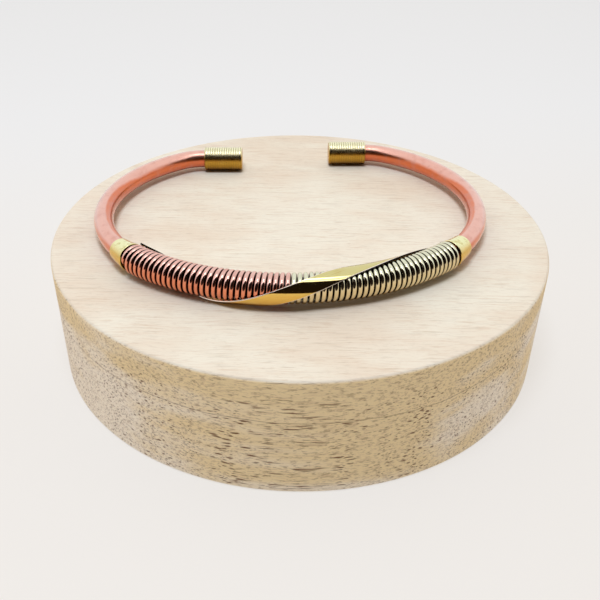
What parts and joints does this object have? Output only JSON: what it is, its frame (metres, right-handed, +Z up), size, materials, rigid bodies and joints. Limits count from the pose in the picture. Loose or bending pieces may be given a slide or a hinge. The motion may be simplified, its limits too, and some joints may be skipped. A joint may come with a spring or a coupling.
{
  "type": "copper bracelet on wooden display stand",
  "caption": "Open copper cuff with brass end caps, a front wound in copper and pale wire under a slanting brass band, lying on a round wooden stand.",
  "frame": {"origin": "middle of the wooden stand's underside", "axes": "+Z up through the stand, +Y towards the cuff's opening, the wound front of the cuff at -Y"},
  "size_m": [0.085, 0.085, 0.0263],
  "materials": {
    "copper": "polished copper",
    "copper_wire": "polished flattened copper wire",
    "pale_wire": "polished pale brass wire",
    "brass": "polished",
    "wood": "sanded, unvarnished"
  },
  "bodies": {
    "root": {"display_block": "wood", "copper_rod": "copper", "end_cap_left": "brass", "end_cap_right": "brass", "collar_left": "brass", "collar_right": "brass", "copper_wire_coil": "copper_wire", "pale_wire_coil": "pale_wire", "brass_band": "brass"}
  },
  "joints": []
}
